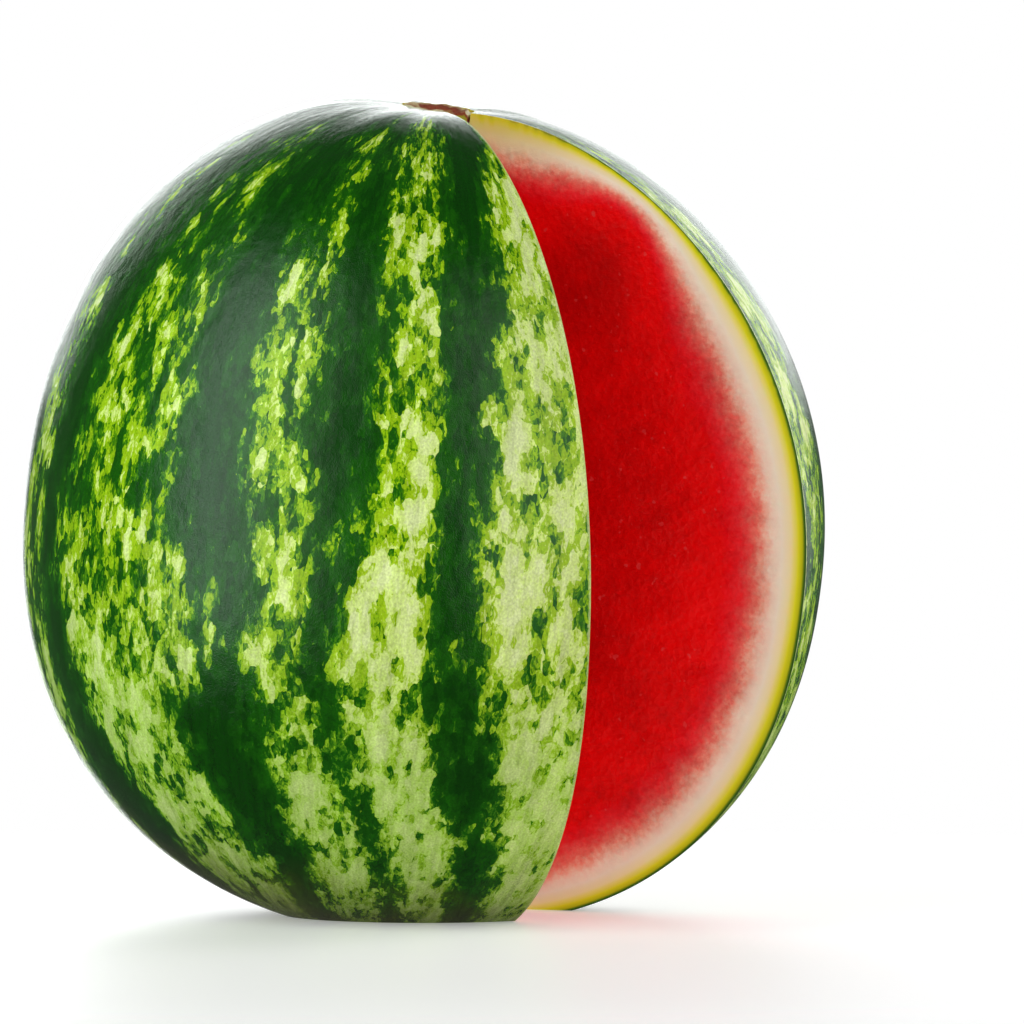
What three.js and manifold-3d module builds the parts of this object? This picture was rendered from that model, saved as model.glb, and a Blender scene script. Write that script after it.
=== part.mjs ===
// A seedless watermelon standing on a small sliced base, with one wedge cut out of its side.
// Millimetres, +Z up, the viewer in front at -Y. Azimuths start at the viewer and grow towards +X.
import * as THREE from 'three';
import { mergeVertices } from 'three/addons/utils/BufferGeometryUtils.js';
import Module from 'manifold-3d';

const wasm = await Module();
wasm.setup();

// The skin, in the fruit's own frame: its axis is upright and its widest ring lies at height 0.
const WIDE_RADIUS = 125;
const STEM_END_HEIGHT = 136.2;
const BLOSSOM_END_DEPTH = 124.5;
const STEM_END_FULLNESS = 2.11;      // 2 is an ellipse, more is squarer shoulders
const BLOSSOM_END_FULLNESS = 2.18;
const STEM_END_SHIFT = { x: -9.8, y: 2.6 };   // the stem end grew off to one side
const BASIN_DEPTH = 3.2;             // the hollow that the stem grew out of
const BASIN_RADIUS = 24;

// How the fruit stands once its base is sliced flat.
const LEAN_FORWARD = THREE.MathUtils.degToRad(14.4);
const LEAN_SIDEWAYS = THREE.MathUtils.degToRad(5.75);
const WIDE_RING_HEIGHT = 118.5;      // middle of the widest ring, above the sliced base

// The missing wedge, an eighth of a turn: two flat cuts that meet on a line near the fruit's axis.
const NOTCH_START = THREE.MathUtils.degToRad(21.7);
const NOTCH_END = NOTCH_START + Math.PI / 4;
const NOTCH_LINE_TOP = { x: STEM_END_SHIFT.x - 2, y: STEM_END_SHIFT.y };
const NOTCH_LINE_FOOT = { x: 14.5, y: -4.9 };

// The dried stub of the stem, a shallow corky dish seated in its own socket.
const STUB_RADIUS = 10.4;
const STUB_THICKNESS = 3;
const STUB_DISH_DEPTH = 1.6;
const STUB_LIP = 1.6;
const STUB_EDGE = 0.5;
const SEAT_GAP = 0.3;

const RING_STEPS = 64;
const PROFILE_STEPS = 36;
const STUB_RING_STEPS = 32;
const BEYOND = 400;                  // longer than the fruit, for the cutting solids

/** Height above the widest ring, and radius, of the skin at angle t from the stem end (0 to PI). */
function skinPoint(t) {
  const nearStem = t < Math.PI / 2;
  const power = 2 / (nearStem ? STEM_END_FULLNESS : BLOSSOM_END_FULLNESS);
  const reach = nearStem ? STEM_END_HEIGHT : BLOSSOM_END_DEPTH;
  const radius = WIDE_RADIUS * Math.abs(Math.sin(t)) ** power;
  const height = reach * Math.sign(Math.cos(t)) * Math.abs(Math.cos(t)) ** power;
  const basin = nearStem ? BASIN_DEPTH * Math.exp(-((radius / BASIN_RADIUS) ** 2)) : 0;
  return new THREE.Vector2(radius, height - basin);
}

/** A closed solid turned around +Z from a profile of (radius, height) points that ends on the axis. */
function turned(profile, steps) {
  return new THREE.LatheGeometry(profile, steps).rotateX(Math.PI / 2);
}

/** The whole uncut skin as a closed solid. */
function skinGeometry() {
  const profile = [];
  for (let i = 0; i <= PROFILE_STEPS; i += 1) {
    profile.push(skinPoint(Math.PI * (1 - i / PROFILE_STEPS)));
  }
  profile[0].x = 0;
  profile[PROFILE_STEPS].x = 0;
  const skin = turned(profile, RING_STEPS);
  const place = skin.attributes.position;
  for (let i = 0; i < place.count; i += 1) {
    const lean = Math.max(place.getZ(i) / STEM_END_HEIGHT, 0) ** 2;
    place.setXY(i, place.getX(i) + STEM_END_SHIFT.x * lean, place.getY(i) + STEM_END_SHIFT.y * lean);
  }
  return skin;
}

/** The wedge that was cut out, as a tall slanted prism whose edge is the line where the cuts meet. */
function wedgeGeometry() {
  const outline = new THREE.Shape();
  outline.moveTo(0, 0);
  outline.lineTo(BEYOND * Math.sin(NOTCH_START), -BEYOND * Math.cos(NOTCH_START));
  outline.lineTo(BEYOND * Math.sin(NOTCH_END), -BEYOND * Math.cos(NOTCH_END));
  const wedge = new THREE.ExtrudeGeometry(outline, { depth: 2 * BEYOND, bevelEnabled: false });
  wedge.translate(0, 0, -BEYOND);
  const place = wedge.attributes.position;
  for (let i = 0; i < place.count; i += 1) {
    const rise = (place.getZ(i) + BLOSSOM_END_DEPTH) / (STEM_END_HEIGHT + BLOSSOM_END_DEPTH);
    const x = THREE.MathUtils.lerp(NOTCH_LINE_FOOT.x, NOTCH_LINE_TOP.x, rise);
    const y = THREE.MathUtils.lerp(NOTCH_LINE_FOOT.y, NOTCH_LINE_TOP.y, rise);
    place.setXY(i, place.getX(i) + x, place.getY(i) + y);
  }
  return wedge;
}

/** Turned dish of the stem stub, or, with a positive grow, the socket that it sits in. */
function stubGeometry(grow) {
  const floor = STEM_END_HEIGHT - BASIN_DEPTH - STUB_THICKNESS - grow;
  const rim = STEM_END_HEIGHT - BASIN_DEPTH;
  const radius = STUB_RADIUS + grow;
  const socket = [[0, floor], [radius, floor], [radius, rim + BEYOND], [0, rim + BEYOND]];
  const dish = [
    [0, floor],
    [radius, floor],
    [radius, rim - STUB_EDGE],
    [radius - STUB_EDGE, rim],
    [radius - STUB_LIP, rim],
    [radius - 2 * STUB_LIP, rim - STUB_DISH_DEPTH],
    [0, rim - STUB_DISH_DEPTH],
  ];
  const profile = grow > 0 ? socket : dish;
  const stub = turned(profile.map(([r, h]) => new THREE.Vector2(r, h)), STUB_RING_STEPS);
  return stub.translate(STEM_END_SHIFT.x, STEM_END_SHIFT.y, 0);
}

/** Tips a shape from the fruit's own frame into the way the fruit stands. */
function stood(geometry) {
  return geometry.rotateY(LEAN_SIDEWAYS).rotateX(LEAN_FORWARD).translate(0, 0, WIDE_RING_HEIGHT);
}

/** A three.js geometry as a manifold-3d solid. */
function solid(geometry) {
  const bare = geometry.clone();
  bare.deleteAttribute('normal');
  bare.deleteAttribute('uv');
  const merged = mergeVertices(bare, 1e-4);
  return new wasm.Manifold(new wasm.Mesh({
    numProp: 3,
    vertProperties: new Float32Array(merged.attributes.position.array),
    triVerts: new Uint32Array(merged.index.array),
  }));
}

/** A manifold-3d solid as a three.js geometry. */
function geometryOf(shape) {
  const mesh = shape.getMesh();
  const geometry = new THREE.BufferGeometry();
  geometry.setAttribute('position', new THREE.BufferAttribute(mesh.vertProperties, 3));
  geometry.setIndex(new THREE.BufferAttribute(mesh.triVerts, 1));
  geometry.computeVertexNormals();
  return geometry;
}

const underBase = new THREE.BoxGeometry(BEYOND, BEYOND, BEYOND).translate(0, 0, -BEYOND / 2);
const wedge = solid(stood(wedgeGeometry()));

const fruitShape = solid(stood(skinGeometry()))
  .subtract(solid(underBase))
  .subtract(wedge)
  .subtract(solid(stood(stubGeometry(SEAT_GAP))));
const stubShape = solid(stood(stubGeometry(0))).subtract(wedge);

const fruit = new THREE.Mesh(
  geometryOf(fruitShape),
  new THREE.MeshStandardMaterial({ color: 0x2f6b1e, roughness: 0.35, metalness: 0 }),
);
fruit.name = 'fruit';

const stemStub = new THREE.Mesh(
  geometryOf(stubShape),
  new THREE.MeshStandardMaterial({ color: 0xa8763e, roughness: 0.85, metalness: 0 }),
);
stemStub.name = 'stem_stub';

// The origin lies on the base's plane, under the middle of the whole outline.
const outline = new THREE.Box3().setFromObject(fruit);
const middle = outline.getCenter(new THREE.Vector3());

const group = new THREE.Group();
group.add(fruit, stemStub);
group.position.set(-middle.x, -middle.y, 0);

export default group;
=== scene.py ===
import bmesh
import bpy
import numpy as np
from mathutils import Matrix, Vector


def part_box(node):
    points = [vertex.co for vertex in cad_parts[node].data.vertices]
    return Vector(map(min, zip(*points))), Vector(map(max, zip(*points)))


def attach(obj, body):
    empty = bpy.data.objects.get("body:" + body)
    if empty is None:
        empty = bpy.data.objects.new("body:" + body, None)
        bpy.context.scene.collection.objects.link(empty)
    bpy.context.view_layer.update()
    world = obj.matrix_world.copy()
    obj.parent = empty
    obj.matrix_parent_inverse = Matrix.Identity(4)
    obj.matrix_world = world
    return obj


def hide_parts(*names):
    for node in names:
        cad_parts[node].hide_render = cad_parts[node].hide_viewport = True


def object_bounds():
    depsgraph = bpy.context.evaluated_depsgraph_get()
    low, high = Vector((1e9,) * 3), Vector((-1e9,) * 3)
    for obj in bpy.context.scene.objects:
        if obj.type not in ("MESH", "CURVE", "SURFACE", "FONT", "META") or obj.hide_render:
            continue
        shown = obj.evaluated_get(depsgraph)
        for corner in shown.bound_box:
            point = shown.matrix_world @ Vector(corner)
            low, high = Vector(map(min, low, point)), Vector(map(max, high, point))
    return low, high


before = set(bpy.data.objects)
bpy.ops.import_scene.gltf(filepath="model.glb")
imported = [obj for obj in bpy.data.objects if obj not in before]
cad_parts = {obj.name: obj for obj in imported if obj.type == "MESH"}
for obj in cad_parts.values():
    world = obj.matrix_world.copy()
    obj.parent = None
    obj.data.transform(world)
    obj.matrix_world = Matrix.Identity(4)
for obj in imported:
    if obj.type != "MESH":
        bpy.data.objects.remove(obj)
cad_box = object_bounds()

MM = 0.001


# ---------------------------------------------------------------- the fruit's shape, in millimetres

# The skin in the fruit's own frame: axis upright, widest ring at height 0, azimuth 0 towards -Y.
WIDE_RADIUS = 125.0
STEM_END_HEIGHT = 136.2
BLOSSOM_END_DEPTH = 124.5
STEM_END_FULLNESS = 2.11
BLOSSOM_END_FULLNESS = 2.18
STEM_END_SHIFT = np.array([-9.8, 2.6])
BASIN_DEPTH = 3.2
BASIN_RADIUS = 24.0

# How the fruit stands on its sliced base.
LEAN_FORWARD = np.radians(14.4)
LEAN_SIDEWAYS = np.radians(5.75)
WIDE_RING_HEIGHT = 118.5

# The missing wedge: two flat cuts that meet on one straight line.
NOTCH_START = np.radians(21.7)
NOTCH_END = NOTCH_START + np.pi / 4
NOTCH_LINE_TOP = STEM_END_SHIFT + [-2.0, 0.0]
NOTCH_LINE_FOOT = np.array([14.5, -4.9])

# The socket that the stem stub sits in, and the stub.
SOCKET_FOOT_RADIUS = 10.7
SOCKET_RIM_RADIUS = 11.3
SOCKET_DEPTH = 3.3
STUB_RADIUS = 10.4
STUB_THICKNESS = 3.0
STUB_LIP = 0.45
STUB_DISH_DEPTH = 1.2

# How finely the skin, the cuts and the base are divided.
COLUMNS = 300
FLOOR_ROWS = 7
WALL_ROWS = 4
SKIN_ROWS = 200
BASE_ROWS = 12
CUT_RINGS = 54
STUB_RINGS = 40
STUB_COLUMNS = 160
STUB_WALL_STEPS = 7
CUT_UV_PER_MM = 0.0018
SHARP_ANGLE = np.radians(40)
MERGE_DISTANCE = 2e-6


def smooth(low, high, x):
    """0 below low, 1 above high, and an S-curve between them."""
    t = np.clip((x - low) / (high - low), 0, 1)
    return t * t * (3 - 2 * t)


def waves(x, terms):
    """Sum of sines of x; each term is (height, waves per unit, phase)."""
    return sum(height * np.sin(rate * x + phase) for height, rate, phase in terms)


def ring(theta, azimuth):
    """Radius and height of the skin: a superellipse either side of the widest ring, less the hollow
    round the stem, plus shallow flutes that run out of that hollow and a slow unevenness all over."""
    near_stem = theta < np.pi / 2
    power = 2 / np.where(near_stem, STEM_END_FULLNESS, BLOSSOM_END_FULLNESS)
    reach = np.where(near_stem, STEM_END_HEIGHT, BLOSSOM_END_DEPTH)
    radius = WIDE_RADIUS * np.abs(np.sin(theta)) ** power
    height = reach * np.sign(np.cos(theta)) * np.abs(np.cos(theta)) ** power
    hollow = np.exp(-((radius / BASIN_RADIUS) ** 2))
    flutes = waves(azimuth, ((0.2, 9, 0.4), (0.14, 14, 2.1), (0.12, 5, 1.2))) - 0.05
    flutes = flutes * np.exp(-(((theta - 0.27) / 0.16) ** 2))
    uneven = 0.35 * np.sin(3 * azimuth + 2 * theta) + 0.25 * np.sin(5 * azimuth - 3 * theta + 1)
    uneven = uneven * np.sin(theta) ** 2
    height = height - np.where(near_stem, BASIN_DEPTH * hollow, 0) + flutes * np.cos(theta)
    return radius + uneven + flutes * np.sin(theta), height


def centre_line(height):
    """Where the skin's rings are centred: the stem end leans off by the square of the height."""
    lean = np.clip(height / STEM_END_HEIGHT, 0, None) ** 2
    return STEM_END_SHIFT[0] * lean, STEM_END_SHIFT[1] * lean


def notch_line(height):
    """The point of the line where the two cuts meet, at this height."""
    rise = (height + BLOSSOM_END_DEPTH) / (STEM_END_HEIGHT + BLOSSOM_END_DEPTH)
    foot, top = NOTCH_LINE_FOOT, NOTCH_LINE_TOP
    return foot[0] + (top[0] - foot[0]) * rise, foot[1] + (top[1] - foot[1]) * rise


def cut_azimuth(radius, height, cut):
    """Azimuth at which a ring of this radius and height crosses the flat cut: the cut's own azimuth,
    turned by the arcsine of how far the cut passes from the ring's centre, over the radius."""
    cx, cy = centre_line(height)
    ax, ay = notch_line(height)
    offset = (ax - cx) * np.cos(cut) + (ay - cy) * np.sin(cut)
    return cut + np.arcsin(np.clip(offset / radius, -1, 1))


def place(radius, height, azimuth):
    """Point of the fruit's own frame at this radius and azimuth round the centre line."""
    cx, cy = centre_line(height)
    return np.stack([radius * np.sin(azimuth) + cx, -radius * np.cos(azimuth) + cy, height + 0 * cx], -1)


def lean_matrix():
    """Turns the fruit's own frame to how it stands: sideways about Y first, then forward about X."""
    ct, st = np.cos(LEAN_FORWARD), np.sin(LEAN_FORWARD)
    cs, ss = np.cos(LEAN_SIDEWAYS), np.sin(LEAN_SIDEWAYS)
    forward = np.array([[1, 0, 0], [0, ct, -st], [0, st, ct]])
    sideways = np.array([[cs, 0, ss], [0, 1, 0], [-ss, 0, cs]])
    return forward @ sideways


def box_foot():
    """Point of the base's plane under the middle of the fruit's box, in metres."""
    low, high = (np.array(corner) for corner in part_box("fruit"))
    return np.array([(low[0] + high[0]) / 2, (low[1] + high[1]) / 2, low[2]])


def stood(points):
    """Points of the fruit's own frame, turned and lifted to how the fruit stands, in metres."""
    return (points @ lean_matrix().T + [0, 0, WIDE_RING_HEIGHT]) * MM + box_foot()


def unstood(points):
    """The opposite of stood: metres as the fruit stands, to millimetres of the fruit's own frame."""
    return ((points - box_foot()) / MM - [0, 0, WIDE_RING_HEIGHT]) @ lean_matrix()


def skin_column(u, theta):
    """Skin points where u runs from the far cut (0) round the back to the near cut (1)."""
    guess = NOTCH_END + u * (NOTCH_START + 2 * np.pi - NOTCH_END)
    radius, height = ring(theta, guess)
    for _ in range(3):               # the ring's unevenness depends on the azimuth that it sets
        first = cut_azimuth(radius, height, NOTCH_END)
        last = cut_azimuth(radius, height, NOTCH_START) + 2 * np.pi
        azimuth = first + u * (last - first)
        radius, height = ring(theta, azimuth)
    return place(radius, height, azimuth), azimuth


def base_theta(u):
    """For each column, the angle from the stem end at which the skin meets the base's plane, found by
    halving an interval."""
    low = np.full_like(u, np.pi * 0.6)
    high = np.full_like(u, np.pi * 0.9995)
    for _ in range(40):
        middle = (low + high) / 2
        points, _ = skin_column(u, middle)
        above = stood(points)[..., 2] > cad_box[0][2]
        low = np.where(above, middle, low)
        high = np.where(above, high, middle)
    return (low + high) / 2


# ---------------------------------------------------------------- stripes, in degrees of azimuth

# Light bands: middle at the widest ring, half width, how pale the heart is, and how far from the stem
# the band begins, in radians.
LIGHT_BANDS = (
    (-73.0, 6.5, 0.5, 0.5),
    (-48.0, 10.0, 0.85, 0.42),
    (-21.5, 4.8, 0.95, 0.25),
    (-5.6, 5.4, 1.2, 0.2),
    (17.5, 8.2, 1.35, 0.45),
    (72.5, 5.5, 1.1, 0.3),
    (98.0, 7.5, 0.8, 0.45),
    (119.0, 4.8, 0.75, 0.2),
    (141.0, 8.0, 0.95, 0.4),
    (161.0, 5.0, 0.75, 0.25),
    (184.0, 7.0, 0.85, 0.45),
    (205.0, 5.5, 0.8, 0.2),
    (225.0, 8.0, 0.95, 0.38),
    (246.0, 5.0, 0.75, 0.3),
    (266.0, 6.5, 0.8, 0.45),
)
EDGE_WIDTH = 6.0                     # degrees over which a band's edge fades

# Places where a band swells or is broken: azimuth, angle from the stem, half size each way, and
# whether it is light or dark.
SWELLS = (
    (-37.0, 1.66, 8.0, 0.2, "light"),
    (-50.0, 1.6, 4.5, 0.14, "dark"),
    (150.0, 1.5, 7.0, 0.2, "light"),
    (233.0, 1.7, 7.0, 0.22, "light"),
    (104.0, 1.25, 4.0, 0.12, "dark"),
    (186.0, 1.6, 4.0, 0.15, "dark"),
)

# Degrees that the bands bend near the blossom end, and the azimuth that they bend towards.
BLOSSOM_DRIFT = 17.0
BLOSSOM_DRIFT_TOWARDS = np.radians(60)


def stripes(theta, azimuth):
    """How far inside a light band each point lies (1 deep inside, -1 deep in the dark), and how pale
    that band is. Each band wanders slowly, widens downwards, and near the blossom end all of them
    bend towards the side where the true blossom end lies."""
    bend = BLOSSOM_DRIFT * np.sin(BLOSSOM_DRIFT_TOWARDS - azimuth) * smooth(1.5, 2.6, theta)
    straight = np.degrees(azimuth) - bend
    inside = np.full_like(theta, -1.0)
    pale = np.full_like(theta, 0.5)
    for i, (middle, half, paleness, start) in enumerate(LIGHT_BANDS):
        wander = 1.3 * np.sin(2.3 * theta + 1.7 * i) + 0.8 * np.sin(5.1 * theta + 2.9 * i)
        width = half * (0.84 + 0.3 * smooth(0.5, 2.2, theta)) + 0.9 * np.sin(4.3 * theta + 2.1 * i)
        width = (width + 4) * smooth(start - 0.25, start + 0.15, theta) - 4
        away = np.abs((straight - middle - wander + 180) % 360 - 180)
        depth = np.clip((width - away) / EDGE_WIDTH, -1, 1)
        pale = np.where(depth > inside, paleness, pale)
        inside = np.maximum(inside, depth)
    for middle, angle, half, half_angle, kind in SWELLS:
        away = np.abs((np.degrees(azimuth) - middle + 180) % 360 - 180)
        reach = 1.6 * (1 - np.hypot(away / half, (theta - angle) / half_angle))
        if kind == "light":
            inside = np.maximum(inside, np.minimum(reach, 0.6))
        else:
            inside = inside - 0.8 * np.clip(reach, 0, 1)
    return inside, pale


# ---------------------------------------------------------------- meshes

def grid_faces(rows, columns, start=0, flip=False):
    """Quads of a rows by columns grid of vertices that begin at index start."""
    index = start + np.arange(rows * columns).reshape(rows, columns)
    a, b, c, d = index[:-1, :-1], index[:-1, 1:], index[1:, 1:], index[1:, :-1]
    quads = np.stack([a, b, c, d] if flip else [a, d, c, b], -1)
    return quads.reshape(-1, 4)


def make_mesh(name, patches, facts, materials):
    """One smooth closed mesh from grid patches. Each patch is (points, flip, material, uv); facts maps
    an attribute's name to one array per patch. Doubled vertices along the seams are merged."""
    starts = np.cumsum([0] + [p[0].shape[0] * p[0].shape[1] for p in patches])
    points = np.concatenate([p[0].reshape(-1, 3) for p in patches])
    faces = [grid_faces(*p[0].shape[:2], start, p[1]) for p, start in zip(patches, starts)]
    slots = np.concatenate([np.full(len(f), p[2]) for f, p in zip(faces, patches)])
    faces = np.concatenate(faces)

    mesh = bpy.data.meshes.new(name)
    mesh.from_pydata(points.tolist(), [], faces.tolist())
    mesh.polygons.foreach_set("material_index", slots.astype(np.int32))
    mesh.polygons.foreach_set("use_smooth", np.ones(len(faces), bool))
    uv = np.concatenate([p[3].reshape(-1, 2) for p in patches])[faces.reshape(-1)]
    mesh.uv_layers.new(name="OFBake").data.foreach_set("uv", uv.astype(np.float32).reshape(-1))
    for key, arrays in facts.items():
        values = np.concatenate([a.reshape(starts[i + 1] - starts[i], -1) for i, a in enumerate(arrays)])
        if values.shape[1] == 3:
            mesh.attributes.new(key, "FLOAT_VECTOR", "POINT").data.foreach_set(
                "vector", values.astype(np.float32).reshape(-1))
        else:
            mesh.attributes.new(key, "FLOAT", "POINT").data.foreach_set(
                "value", values.astype(np.float32).reshape(-1))
    for material in materials:
        mesh.materials.append(material)

    merge(mesh)
    piece = bpy.data.objects.new(name, mesh)
    bpy.context.scene.collection.objects.link(piece)
    return piece


def merge(mesh):
    """Joins the doubled vertices where patches meet, drops the faces that shrink to nothing, and marks
    as sharp the edges between two materials or between faces that turn by more than SHARP_ANGLE."""
    work = bmesh.new()
    work.from_mesh(mesh)
    bmesh.ops.remove_doubles(work, verts=work.verts, dist=MERGE_DISTANCE)
    bmesh.ops.dissolve_degenerate(work, edges=work.edges, dist=1e-7)
    for edge in work.edges:
        slots = {face.material_index for face in edge.link_faces}
        edge.smooth = bool(len(slots) == 1 and edge.calc_face_angle(0) < SHARP_ANGLE)
    work.to_mesh(mesh)
    work.free()


def fruit_grid():
    """The skin side of the fruit as one grid. Its rows run from the notch line out over the socket's
    floor, up its wall, down the skin and back across the base to the notch line's foot."""
    u = np.linspace(0, 1, COLUMNS + 1)[None, :]
    near_stem = np.linspace(0, 0.3, 300)
    radii = WIDE_RADIUS * np.sin(near_stem) ** (2 / STEM_END_FULLNESS)
    rim_theta = float(np.interp(SOCKET_RIM_RADIUS, radii, near_stem))
    foot_theta = base_theta(u)
    v = np.linspace(0, 1, SKIN_ROWS + 1)[:, None]
    theta = rim_theta + v * (foot_theta - rim_theta)
    skin, azimuth = skin_column(u + 0 * theta, theta)

    rim_azimuth = azimuth[:1]
    floor_height = STEM_END_HEIGHT - BASIN_DEPTH - SOCKET_DEPTH + 0 * rim_azimuth
    wall_foot = place(SOCKET_FOOT_RADIUS, floor_height, rim_azimuth)
    for end, cut in ((0, NOTCH_END), (-1, NOTCH_START)):
        turn = cut_azimuth(SOCKET_FOOT_RADIUS, floor_height[:, end], cut)
        wall_foot[:, end] = place(SOCKET_FOOT_RADIUS, floor_height[:, end], turn)
    top = np.array([*notch_line(floor_height[0, 0]), floor_height[0, 0]])
    t = np.linspace(0, 1, FLOOR_ROWS, endpoint=False)[:, None, None]
    floor = top + t * (wall_foot - top)
    t = np.linspace(0, 1, WALL_ROWS, endpoint=False)[:, None, None]
    wall = wall_foot + t * (skin[:1] - wall_foot)

    upper = stood(np.concatenate([floor, wall, skin]))
    foot = notch_line_at_base()
    t = np.linspace(0, 1, BASE_ROWS + 1)[1:, None, None]
    base = upper[-1:] + t * (foot - upper[-1:])
    points = np.concatenate([upper, base])
    points[FLOOR_ROWS + WALL_ROWS + SKIN_ROWS:, :, 2] = cad_box[0][2]

    def rows(first, middle, last):
        """Values for every row: the skin's own, and its first and last row's on the rest."""
        return np.concatenate([np.repeat(first, FLOOR_ROWS + WALL_ROWS, 0), middle,
                               np.repeat(last, BASE_ROWS, 0)])
    return points, rows(theta[:1], theta, theta[-1:]), rows(azimuth[:1], azimuth, azimuth[-1:])


def notch_line_at_base():
    """Where the line of the two cuts comes out of the sliced base, in metres."""
    heights = np.array([STEM_END_HEIGHT, -BLOSSOM_END_DEPTH])
    ends = stood(np.stack([*notch_line(heights), heights], -1))
    share = (cad_box[0][2] - ends[0, 2]) / (ends[1, 2] - ends[0, 2])
    return ends[0] + share * (ends[1] - ends[0])


def under_skin(points):
    """Distance in millimetres from points of a cut, given in the fruit's own frame, out to the skin
    along the ray from the fruit's middle. It is stretched where the rind is thinner, on the
    shoulder round the stem."""
    x, y, height = points[..., 0], points[..., 1], points[..., 2]
    cx, cy = centre_line(height)
    radius = np.hypot(x - cx, y - cy)
    full = np.where(height > 0, STEM_END_FULLNESS, BLOSSOM_END_FULLNESS)
    reach = np.where(height > 0, STEM_END_HEIGHT, BLOSSOM_END_DEPTH)
    share = ((radius / WIDE_RADIUS) ** full + (np.abs(height) / reach) ** full) ** (1 / full)
    depth = np.maximum(np.hypot(radius, height) * (1 / np.maximum(share, 1e-3) - 1), 0)
    angle = np.arctan2(radius, height)
    thinner = 0.62 * np.exp(-(((angle - 0.53) / 0.2) ** 2))
    thicker = 0.14 * np.exp(-(((angle - 0.92) / 0.25) ** 2))
    return depth / (1 - thinner + thicker)


def cut_face(edge):
    """One flat cut: rings that shrink from the edge column to a point on the notch line. Sums of sines
    raise and lower the flesh by a few tenths of a millimetre, as a knife leaves it, fading out
    towards the edge and towards the notch line. Also gives each point's place in the cut's plane,
    in millimetres along the notch line and away from it."""
    heart = stood(np.array([*notch_line(0.0), 0.0]))
    line = stood(np.array([*notch_line(100.0), 100.0])) - heart
    line = line / np.linalg.norm(line)
    share = 1 - (1 - np.linspace(0, 1, CUT_RINGS + 1)) ** 1.5
    points = edge[:, None] + share[None, :, None] * (heart - edge[:, None])
    from_line = np.linalg.norm(np.cross(points - heart, line), axis=-1) / MM
    from_edge = np.linalg.norm(points - edge[:, None], axis=-1) / MM
    widest = np.argmax(from_line[:, 0])
    across = np.cross(line, edge[widest] - heart)
    across = across / np.linalg.norm(across)
    x, z = from_line, points[..., 2] / MM
    relief = (0.16 * np.sin(0.21 * x + 0.13 * z) + 0.12 * np.sin(0.47 * z - 0.19 * x + 1)
              + 0.04 * np.sin(0.83 * x + 0.37 * np.sin(0.3 * z)) * np.sin(0.71 * z + 2))
    relief = relief * smooth(0, 9, from_line) * smooth(0, 8, from_edge) * MM
    flat = np.stack([(points - heart) @ line / MM, from_line], -1)
    return points + relief[..., None] * across, flat


# ---------------------------------------------------------------- materials

def srgb(r, g, b):
    """A colour picked on a screen, 0 to 255, as linear light."""
    c = np.array([r, g, b]) / 255
    return tuple(np.where(c < 0.04045, c / 12.92, ((c + 0.055) / 1.055) ** 2.4)) + (1.0,)


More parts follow.
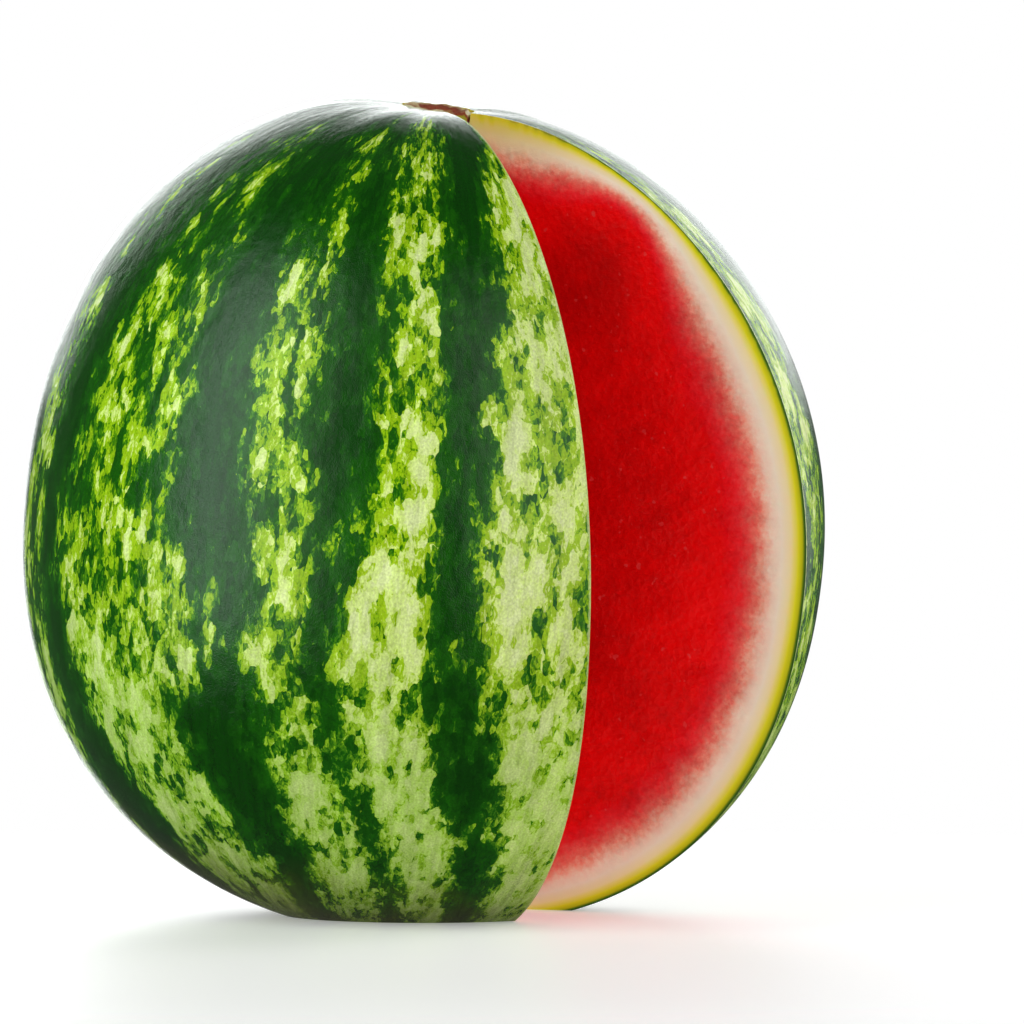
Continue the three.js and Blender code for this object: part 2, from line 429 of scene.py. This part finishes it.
class Nodes:
    """Short words for building one material's node tree."""

    def __init__(self, name):
        self.material = bpy.data.materials.new(name)
        self.material.use_nodes = True
        self.tree = self.material.node_tree
        self.shader = self.tree.nodes["Principled BSDF"]

    def add(self, kind, **settings):
        """A new node with these settings."""
        node = self.tree.nodes.new(kind)
        for key, value in settings.items():
            setattr(node, key, value)
        return node

    def put(self, socket, value):
        """Links an output to the socket, or sets the socket to a plain value."""
        if isinstance(value, bpy.types.NodeSocket):
            self.tree.links.new(value, socket)
        else:
            socket.default_value = value

    def math(self, operation, a, b=0.0):
        """a and b joined by a plain operation."""
        node = self.add("ShaderNodeMath", operation=operation)
        self.put(node.inputs[0], a)
        self.put(node.inputs[1], b)
        return node.outputs[0]

    def sum(self, first, *terms):
        """first plus each (value, weight) pair."""
        total = first
        for value, weight in terms:
            node = self.add("ShaderNodeMath", operation="MULTIPLY_ADD")
            self.put(node.inputs[0], value)
            self.put(node.inputs[1], weight)
            self.put(node.inputs[2], total)
            total = node.outputs[0]
        return total

    def fact(self, name, vector=False):
        """One of the mesh's own attributes."""
        node = self.add("ShaderNodeAttribute", attribute_name=name)
        return node.outputs["Vector" if vector else "Fac"]

    def stretch(self, vector, scale):
        """vector times scale, axis by axis."""
        node = self.add("ShaderNodeVectorMath", operation="MULTIPLY")
        self.put(node.inputs[0], vector)
        node.inputs[1].default_value = scale
        return node.outputs[0]

    def noise(self, vector, scale, detail=2.0, rough=0.5):
        """Noise with its middle at 0."""
        node = self.add("ShaderNodeTexNoise")
        self.put(node.inputs["Vector"], vector)
        node.inputs["Scale"].default_value = scale
        node.inputs["Detail"].default_value = detail
        node.inputs["Roughness"].default_value = rough
        return self.math("SUBTRACT", node.outputs[0], 0.5)

    def warp(self, vector, scale, strength):
        """vector pushed about by noise, so that a pattern read at it has wavering lines."""
        noise = self.add("ShaderNodeTexNoise")
        self.put(noise.inputs["Vector"], vector)
        noise.inputs["Scale"].default_value = scale
        centred = self.add("ShaderNodeVectorMath", operation="SUBTRACT")
        self.put(centred.inputs[0], noise.outputs["Color"])
        centred.inputs[1].default_value = (0.5, 0.5, 0.5)
        pushed = self.add("ShaderNodeVectorMath", operation="MULTIPLY_ADD")
        self.put(pushed.inputs[0], centred.outputs[0])
        pushed.inputs[1].default_value = (strength, strength, strength)
        self.put(pushed.inputs[2], vector)
        return pushed.outputs[0]

    def cells(self, vector, scale, output="Position"):
        """The middle of the small cell that vector falls in, or the distance to it."""
        node = self.add("ShaderNodeTexVoronoi")
        self.put(node.inputs["Vector"], vector)
        node.inputs["Scale"].default_value = scale
        return node.outputs[output]

    def between(self, value, low, high):
        """0 at low, 1 at high, and an S-curve between them."""
        node = self.add("ShaderNodeMapRange", interpolation_type="SMOOTHSTEP")
        self.put(node.inputs["Value"], value)
        node.inputs["From Min"].default_value = low
        node.inputs["From Max"].default_value = high
        return node.outputs[0]

    def mix(self, share, a, b):
        """Colour a where share is 0, b where it is 1."""
        node = self.add("ShaderNodeMix", data_type="RGBA")
        self.put(node.inputs[0], share)
        self.put(node.inputs[6], a)
        self.put(node.inputs[7], b)
        return node.outputs[2]

    def ramp(self, value, low, high, stops):
        """Colour by value; stops are (value, colour) from low to high."""
        mapped = self.add("ShaderNodeMapRange")
        self.put(mapped.inputs["Value"], value)
        mapped.inputs["From Min"].default_value = low
        mapped.inputs["From Max"].default_value = high
        node = self.add("ShaderNodeValToRGB")
        self.put(node.inputs[0], mapped.outputs[0])
        elements = node.color_ramp.elements
        while len(elements) < len(stops):
            elements.new(0.5)
        for element, (at, colour) in zip(elements, stops):
            element.position = (at - low) / (high - low)
            element.color = colour
        return node.outputs[0]

    def bump(self, height, strength, distance, under=None):
        """Fine relief for the shader's normal, laid over the relief under it."""
        node = self.add("ShaderNodeBump")
        self.put(node.inputs["Height"], height)
        node.inputs["Strength"].default_value = strength
        node.inputs["Distance"].default_value = distance
        if under is not None:
            self.put(node.inputs["Normal"], under)
        return node.outputs[0]


DEEP_GREEN = srgb(6, 62, 0)
DARK_GREEN = srgb(22, 88, 0)
LEAF_GREEN = srgb(50, 114, 0)
LIME_GREEN = srgb(142, 184, 4)
PALE_GREEN = srgb(212, 232, 122)


def skin_material():
    """Waxy melon skin. How far a point lies inside a light band, broken up by noise that is read at
    the middles of small cells, picks one of several greens, so every patch has torn, blocky edges."""
    n = Nodes("melon_skin")
    grown = n.fact("grown", vector=True)
    inside, pale, along = n.fact("inside"), n.fact("pale"), n.fact("along")
    tall = n.warp(n.stretch(grown, (1, 1, 0.6)), 3.5, 0.22)
    low = n.between(along, 1.5, 2.0)
    band = n.math("MINIMUM", inside, 0.5)
    broad = n.noise(tall, 0.6, 2.0, 0.5)
    patchy = n.noise(n.cells(tall, 3.6), 1.2, 2.0, 0.6)
    torn = n.noise(n.cells(tall, 7.2), 2.8, 2.0, 0.6)
    fine = n.noise(tall, 13.0, 2.0, 0.6)
    top = n.between(along, 0.75, 0.25)
    upper_pale = n.math("MAXIMUM", n.sum(-1.0, (pale, 0.8)), -0.19)
    field = n.sum(n.math("MULTIPLY", band, 0.62), (n.math("MULTIPLY", low, band), 0.25),
                  (n.math("MULTIPLY", top, band), -0.3),
                  (broad, 0.8), (patchy, 1.6), (torn, 1.5), (fine, 0.5),
                  (n.math("SUBTRACT", pale, 1.1), 0.4), (n.between(along, 1.4, 0.8), upper_pale),
                  (n.between(along, 1.1, 1.5), -0.07))
    upper = n.ramp(field, -1, 1, (
        (-0.6, DEEP_GREEN), (-0.04, DARK_GREEN), (0.0, LEAF_GREEN), (0.1, srgb(84, 140, 0)),
        (0.14, LIME_GREEN), (0.32, srgb(168, 202, 28)), (0.37, PALE_GREEN), (0.8, srgb(230, 240, 168))))
    lower = n.ramp(field, -1, 1, (
        (-0.6, srgb(6, 60, 0)), (-0.04, srgb(20, 86, 0)), (0.0, srgb(46, 108, 8)),
        (0.1, srgb(80, 136, 12)), (0.14, srgb(126, 172, 22)), (0.24, srgb(144, 186, 40)),
        (0.29, srgb(168, 203, 84)), (0.8, srgb(196, 218, 128))))
    colour = n.mix(low, upper, lower)
    # Olive towards the base, where the skin yellows; the olive is kept dark as part of the painted shade
    # there.
    base_tint = n.between(n.sum(along, (n.noise(grown, 0.5, 3), 0.5)), 2.2, 2.7)
    colour = n.mix(n.math("MULTIPLY", base_tint, 0.6), colour, srgb(112, 112, 8))
    # Paler green along the cut edges: a painted highlight where the edges catch the light.
    painted_edge_highlight = n.sum(n.fact("edge"), (torn, 1.6), (fine, 1.6))
    colour = n.mix(n.math("MULTIPLY", n.between(painted_edge_highlight, 0.75, 0.35), 0.75), colour, srgb(206, 220, 140))
    streaks = n.noise(n.stretch(grown, (1, 1, 0.1)), 3.2, 3.0, 0.6)
    # Random streaks and fine mottling, then painted shade: the skin darker from about the widest ring down
    # and much darker towards the base.
    tone_and_painted_shade = n.sum(1.0, (streaks, 0.8), (n.noise(grown, 16.0, 2.0), 0.8),
                  (n.between(along, 1.2, 1.7), -0.12), (n.between(along, 2.0, 2.6), -0.38))
    dim = n.add("ShaderNodeVectorMath", operation="SCALE")
    n.put(dim.inputs[0], colour)
    n.put(dim.inputs["Scale"], tone_and_painted_shade)
    n.put(n.shader.inputs["Base Color"], dim.outputs[0])
    n.put(n.shader.inputs["Roughness"], n.sum(0.17, (n.noise(grown, 1.1, 3.0), 0.12)))
    n.shader.inputs["Specular IOR Level"].default_value = 0.3
    pores = n.bump(n.noise(grown, 26.0, 2.0), 0.5, 0.0002)
    n.put(n.shader.inputs["Normal"], n.bump(n.noise(grown, 1.6, 2.0), 0.3, 0.0012, pores))
    return n.material


def flesh_material():
    """The cut: thin green skin, cream rind, and red seedless flesh, coloured by depth under the skin."""
    n = Nodes("melon_cut")
    depth, along = n.fact("depth"), n.fact("along")
    place_ = n.add("ShaderNodeTexCoord").outputs["Object"]
    soft = n.noise(place_, 90.0, 3.0, 0.6)
    fibres = n.noise(place_, 620.0, 3.0, 0.65)
    veins = n.noise(n.warp(place_, 160.0, 0.006), 260.0, 4.0, 0.7)
    fuzz = n.between(depth, 5.0, 15.0)
    moved = n.sum(depth, (n.math("MULTIPLY", soft, fuzz), 9.0), (n.math("MULTIPLY", fibres, fuzz), 6.0))
    colour = n.ramp(moved, 0, 60, (
        (0.0, srgb(20, 76, 8)), (0.6, srgb(70, 120, 6)), (1.1, srgb(190, 200, 0)),
        (2.3, srgb(228, 230, 24)), (3.5, srgb(242, 236, 120)), (4.8, srgb(250, 240, 184)),
        (7.5, srgb(252, 242, 218)), (10.2, srgb(252, 226, 204)), (12.9, srgb(248, 184, 160)),
        (15.6, srgb(242, 124, 108)), (18.4, srgb(240, 80, 76)), (21.0, srgb(242, 40, 48)),
        (24.0, srgb(242, 6, 22)), (27.0, srgb(246, 0, 6)), (36.0, srgb(242, 0, 4)),
        (60.0, srgb(216, 0, 2))))
    # Yellower rind towards the stem end: partly the rind's own colour, partly painted shade and bounced
    # light at the shaded top of the notch.
    yellow = n.math("MULTIPLY", n.between(along, 0.45, 0.12), n.between(depth, 16.0, 3.0))
    colour = n.mix(n.math("MULTIPLY", yellow, 0.75), colour, srgb(206, 182, 44))
    clouds = n.sum(1.0, (n.noise(place_, 38.0, 3.0, 0.55), n.math("MULTIPLY", fuzz, 0.75)),
                   (veins, n.math("MULTIPLY", fuzz, 0.6)))
    cloudy = n.add("ShaderNodeVectorMath", operation="SCALE")
    n.put(cloudy.inputs[0], colour)
    n.put(cloudy.inputs["Scale"], clouds)
    colour = cloudy.outputs[0]
    # Small pink spots in the red flesh: painted glints of the wet flesh.
    painted_glints = n.between(n.noise(place_, 420.0, 1.0, 0.5), 0.2, 0.26)
    painted_glints = n.math("MULTIPLY", painted_glints, n.between(depth, 14.0, 24.0))
    colour = n.mix(n.math("MULTIPLY", painted_glints, 0.35), colour, srgb(232, 90, 90))
    n.put(n.shader.inputs["Base Color"], colour)
    n.shader.inputs["Roughness"].default_value = 0.4
    n.shader.inputs["Specular IOR Level"].default_value = 0.18
    n.shader.inputs["Subsurface Weight"].default_value = 0.25
    n.shader.inputs["Subsurface Radius"].default_value = (1.0, 0.35, 0.25)
    n.shader.inputs["Subsurface Scale"].default_value = 0.003
    grain = n.sum(n.cells(place_, 420.0, "Distance"), (n.noise(place_, 900.0, 3.0, 0.7), 1.2))
    n.put(n.shader.inputs["Normal"], n.bump(n.math("MULTIPLY", grain, fuzz), 0.5, 0.0006))
    return n.material


def cork_material():
    """Dry stem end: brown cork, redder on the walls, pale and greenish where the fibres tore."""
    n = Nodes("corky_stem")
    place_ = n.add("ShaderNodeTexCoord").outputs["Object"]
    ring_share = n.fact("out")
    rough = n.noise(place_, 330.0, 4.0, 0.65)
    torn = n.noise(place_, 150.0, 3.0, 0.6)
    loose = n.between(ring_share, 0.95, 0.7)
    colour = n.ramp(n.sum(ring_share, (n.math("MULTIPLY", torn, loose), 1.1), (rough, 0.25)), 0, 1, (
        (0.05, srgb(222, 212, 150)), (0.25, srgb(176, 172, 84)), (0.4, srgb(168, 120, 66)),
        (0.62, srgb(150, 66, 38)), (0.82, srgb(132, 56, 32)), (0.9, srgb(196, 168, 120)),
        (1.0, srgb(236, 230, 196))))
    colour = n.mix(n.between(n.sum(n.fact("sunk"), (rough, 1.5)), 0.7, 1.3), colour, srgb(160, 152, 24))
    n.put(n.shader.inputs["Base Color"], colour)
    n.shader.inputs["Roughness"].default_value = 0.85
    n.put(n.shader.inputs["Normal"], n.bump(rough, 0.8, 0.0008))
    return n.material


# ---------------------------------------------------------------- the fruit

def build_fruit():
    """The fruit as five patches: skin, socket, base and the two cuts. On its map the skin fills the upper
    part, the two cuts lie side by side below it, and the base and the socket lie at the bottom."""
    points, theta, azimuth = fruit_grid()
    inside, pale = stripes(theta, azimuth)
    grown = np.stack([np.cos(azimuth), np.sin(azimuth), theta], -1) * WIDE_RADIUS / 10

    along = (theta - theta.min()) / (theta.max() - theta.min())
    across = np.linspace(0, 1, COLUMNS + 1)[None, :] + 0 * theta
    uv = np.stack([0.005 + 0.99 * across, 0.995 - 0.6 * along], -1)

    skin_start = FLOOR_ROWS + WALL_ROWS
    skin_end = skin_start + SKIN_ROWS
    skin_rows = slice(skin_start, skin_end + 1)
    floor_rows = slice(0, skin_start + 1)
    base_rows = slice(skin_end, None)

    def disc_uv(part, middle, size):
        """A round patch laid flat as seen from above."""
        flat = points[part][..., :2]
        centre = (flat.reshape(-1, 2).min(0) + flat.reshape(-1, 2).max(0)) / 2
        half = np.abs(flat - centre).max()
        return np.array(middle) + (flat - centre) / half * size / 2

    # Millimetres along the ring to the nearer cut.
    from_cut = np.minimum(azimuth - azimuth[:, :1], azimuth[:, -1:] - azimuth) * ring(theta, azimuth)[0]
    patches = [
        (points[skin_rows], False, 0, uv[skin_rows]),
        (points[floor_rows], False, 1, disc_uv(floor_rows, (0.2, 0.06), 0.05)),
        (points[base_rows], False, 1, disc_uv(base_rows, (0.07, 0.06), 0.11)),
    ]
    depths = [under_skin(unstood(patch[0])) for patch in patches]
    depths[0] = 0 * depths[0]
    surface = {"inside": inside, "pale": pale, "along": theta, "grown": grown, "edge": from_cut}
    facts = {name: [values[part] for part in (skin_rows, floor_rows, base_rows)]
             for name, values in surface.items()}
    facts["depth"] = depths
    for column, flip, left in ((0, True, 0.005), (-1, False, 0.505)):
        face, flat = cut_face(points[:, column])
        depth = under_skin(unstood(face))
        face_uv = [left, 0.135] + CUT_UV_PER_MM * (flat - flat.min((0, 1)))
        patches.append((face, flip, 1, face_uv))
        facts["depth"].append(depth)
        facts["edge"].append(0 * depth)
        for name in ("inside", "pale", "along"):
            facts[name].append(surface[name][:, column, None] + 0 * depth)
        facts["grown"].append(grown[:, column, None] + 0 * depth[..., None])
    fruit = make_mesh("melon_fruit", patches, facts, [skin_material(), flesh_material()])
    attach(fruit, "root")
    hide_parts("fruit")
    return fruit


# ---------------------------------------------------------------- the stem stub

def build_stub():
    """The corky stem end, as a lid of two height surfaces over a disc with the notch's sector missing:
    a flat underside, and a top with a raised lip, a sunken middle and torn lumps."""
    u = np.linspace(0, 1, STUB_COLUMNS + 1)[None, :]
    share = np.linspace(0, 1, STUB_RINGS + 1)[:, None] ** 0.8
    rim = STEM_END_HEIGHT - BASIN_DEPTH
    first = cut_azimuth(STUB_RADIUS, rim, NOTCH_END)
    last = cut_azimuth(STUB_RADIUS, rim, NOTCH_START) + 2 * np.pi
    azimuth = first + u * (last - first)
    edge = place(STUB_RADIUS, rim + 0 * azimuth, azimuth)
    middle = np.array([*notch_line(rim), rim])
    flat = middle + share[..., None] * (edge - middle)
    dx, dy = flat[..., 0] - STEM_END_SHIFT[0], flat[..., 1] - STEM_END_SHIFT[1]
    out = np.hypot(dx, dy) / STUB_RADIUS
    turn = np.arctan2(dx, -dy)
    lip = STUB_LIP * np.exp(-(((out - 0.93) / 0.06) ** 2))
    lip = lip * (1 + 0.3 * np.sin(5 * turn) + 0.25 * np.sin(11 * turn + 1))
    dish = -STUB_DISH_DEPTH * (1 - smooth(0.6, 0.9, out))
    lumps = 0.5 * np.sin(0.9 * dx + 1.3) * np.sin(1.1 * dy)
    lumps = lumps + 0.35 * np.sin(2.3 * dx + dy) * np.sin(1.9 * dy)
    lumps = lumps * (1 - smooth(0.7, 1.0, out))
    roll = -0.5 * smooth(0.93, 1.0, out)
    top = flat + np.stack([0 * out, 0 * out, lip + dish + lumps + roll], -1)
    under = flat - [0, 0, STUB_THICKNESS]
    rows = np.concatenate([under, top[::-1]])
    rows_out = np.concatenate([out * 0 + 0.6, out[::-1]])
    world = stood(rows)

    def flat_uv(patch):
        """The patch laid flat as seen from above, from 0 to 1."""
        return (patch[..., :2] - world[..., :2].min((0, 1))) / np.ptp(world[..., :2], axis=(0, 1)).max()

    under_rows, top_rows = slice(0, STUB_RINGS + 1), slice(STUB_RINGS + 1, None)
    steps = np.linspace(0, 1, STUB_WALL_STEPS)
    foot, brow = world[STUB_RINGS], world[STUB_RINGS + 1]
    wall = foot + steps[:, None, None] * (brow - foot)
    wall_uv = np.stack([0.02 + 0.96 * u + 0 * steps[:, None], 0 * u + 0.345 + 0.03 * steps[:, None]], -1)
    patches = [
        (world[under_rows], True, 0, flat_uv(world[under_rows]) * 0.3 + [0.6, 0.02]),
        (wall, True, 0, wall_uv),
        (world[top_rows], True, 0, flat_uv(world[top_rows]) * 0.58 + [0.01, 0.4]),
    ]
    outs = [rows_out[under_rows], 0.6 + 0.4 * steps[:, None] + 0 * u, rows_out[top_rows]]
    sunk = [np.zeros(part.shape) for part in outs]
    steps = steps[None, :, None]
    for column, flip, corner in ((0, False, 0.02), (-1, True, 0.2)):
        low, high = world[:STUB_RINGS + 1, column], world[:STUB_RINGS:-1, column]
        face = low[:, None] + steps * (high - low)[:, None]
        along = np.linspace(0, 0.5, STUB_RINGS + 1)[:, None] + 0 * steps[..., 0]
        face_uv = np.stack([0.02 + along, corner + 0.12 * steps[..., 0] + 0 * along], -1)
        patches.append((face, flip, 0, face_uv))
        outs.append(np.full(face.shape[:2], 0.72))
        sunk.append((high[:, None, 2] - face[..., 2]) / MM)
    stub = make_mesh("stem_end", patches, {"out": outs, "sunk": sunk}, [cork_material()])
    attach(stub, "root")
    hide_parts("stem_stub")
    return stub


# ---------------------------------------------------------------- camera, floor and light

CAMERA_DISTANCE = 1.15
CAMERA_BELOW = np.radians(2.03)
CAMERA_YAW = np.radians(1.37)
CAMERA_PITCH = np.radians(2.37)
CAMERA_LENS = 128.6


def build_camera():
    """A long lens a little below the widest ring, which looks up and to the right of the fruit's middle."""
    data = bpy.data.cameras.new("camera")
    data.lens = CAMERA_LENS
    data.sensor_width = 36
    data.clip_start = 0.05
    camera = bpy.data.objects.new("camera", data)
    camera.location = (0, -CAMERA_DISTANCE * np.cos(CAMERA_BELOW),
                       WIDE_RING_HEIGHT * MM - CAMERA_DISTANCE * np.sin(CAMERA_BELOW))
    ahead = Vector((np.sin(CAMERA_YAW) * np.cos(CAMERA_PITCH), np.cos(CAMERA_YAW) * np.cos(CAMERA_PITCH),
                    np.sin(CAMERA_PITCH)))
    camera.rotation_euler = ahead.to_track_quat("-Z", "Y").to_euler()
    bpy.context.scene.collection.objects.link(camera)
    bpy.context.scene.camera = camera


def build_floor():
    """A round pale table top that fades out into the white surroundings. The glossy skin doesn't mirror
    it, so the dark stripes stay deep towards the foot."""
    turn = np.linspace(0, 2 * np.pi, 97)[None, :]
    radius = np.linspace(0, 1.6, 9)[:, None]
    points = np.stack([radius * np.cos(turn), radius * np.sin(turn), 0 * radius * turn - 0.0002], -1)
    mesh = bpy.data.meshes.new("floor")
    mesh.from_pydata(points.reshape(-1, 3).tolist(), [], grid_faces(*points.shape[:2]).tolist())
    n = Nodes("floor")
    spot = n.add("ShaderNodeTexCoord").outputs["Object"]
    length = n.add("ShaderNodeVectorMath", operation="LENGTH")
    n.put(length.inputs[0], spot)
    n.shader.inputs["Base Color"].default_value = (0.92, 0.86, 0.88, 1)
    n.shader.inputs["Roughness"].default_value = 0.5
    n.shader.inputs["Emission Color"].default_value = (1, 1, 1, 1)
    n.shader.inputs["Emission Strength"].default_value = 0.27
    n.put(n.shader.inputs["Alpha"], n.between(length.outputs["Value"], 0.6, 0.25))
    mesh.materials.append(n.material)
    floor = bpy.data.objects.new("floor", mesh)
    floor.visible_glossy = False
    bpy.context.scene.collection.objects.link(floor)


# Soft boxes: azimuth and elevation in degrees, distance, width and height in metres, watts.
SOFT_BOXES = {
    "left": (-62, 14, 1.5, 0.45, 2.4, 17),
    "left_wide": (-39, 14, 1.5, 0.65, 2.4, 7.5),
    "right": (32, 14, 1.5, 0.9, 2.4, 10),
    "right_side": (100, 20, 1.5, 0.8, 1.8, 10),
    "back_left": (-172, 10, 1.7, 0.6, 1.3, 7),
    "back_right": (122, 14, 1.6, 0.6, 1.4, 9),
    "behind": (180, 24, 1.8, 2.2, 0.9, 13),
}


def build_lights():
    """Soft boxes round the fruit, all aimed at the middle of its widest ring, and white surroundings."""
    target = Vector((0, 0, WIDE_RING_HEIGHT * MM))
    for name, (azimuth, elevation, distance, width, height, power) in SOFT_BOXES.items():
        a, e = np.radians(azimuth), np.radians(elevation)
        data = bpy.data.lights.new(name, "AREA")
        data.shape = "RECTANGLE"
        data.size, data.size_y = width, height
        data.energy = power
        data.color = (0.82, 1.0, 0.92) if name == "left" else (0.97, 1.0, 1.0)
        light = bpy.data.objects.new(name, data)
        towards = Vector((np.sin(a) * np.cos(e), -np.cos(a) * np.cos(e), np.sin(e)))
        light.location = target + distance * towards
        light.rotation_euler = (target - light.location).to_track_quat("-Z", "Y").to_euler()
        light.visible_camera = False
        bpy.context.scene.collection.objects.link(light)

    world = bpy.data.worlds.new("studio")
    bpy.context.scene.world = world
    world.use_nodes = True
    nodes, links = world.node_tree.nodes, world.node_tree.links
    seen = nodes.new("ShaderNodeLightPath")
    strength = nodes.new("ShaderNodeMapRange")
    links.new(seen.outputs["Is Camera Ray"], strength.inputs["Value"])
    strength.inputs["To Min"].default_value = 0.08
    strength.inputs["To Max"].default_value = 1.0
    links.new(strength.outputs[0], nodes["Background"].inputs["Strength"])
    nodes["Background"].inputs["Color"].default_value = (1, 1, 1, 1)


build_camera()
build_floor()
build_lights()
build_fruit()
build_stub()
bpy.context.scene.view_settings.view_transform = "Standard"
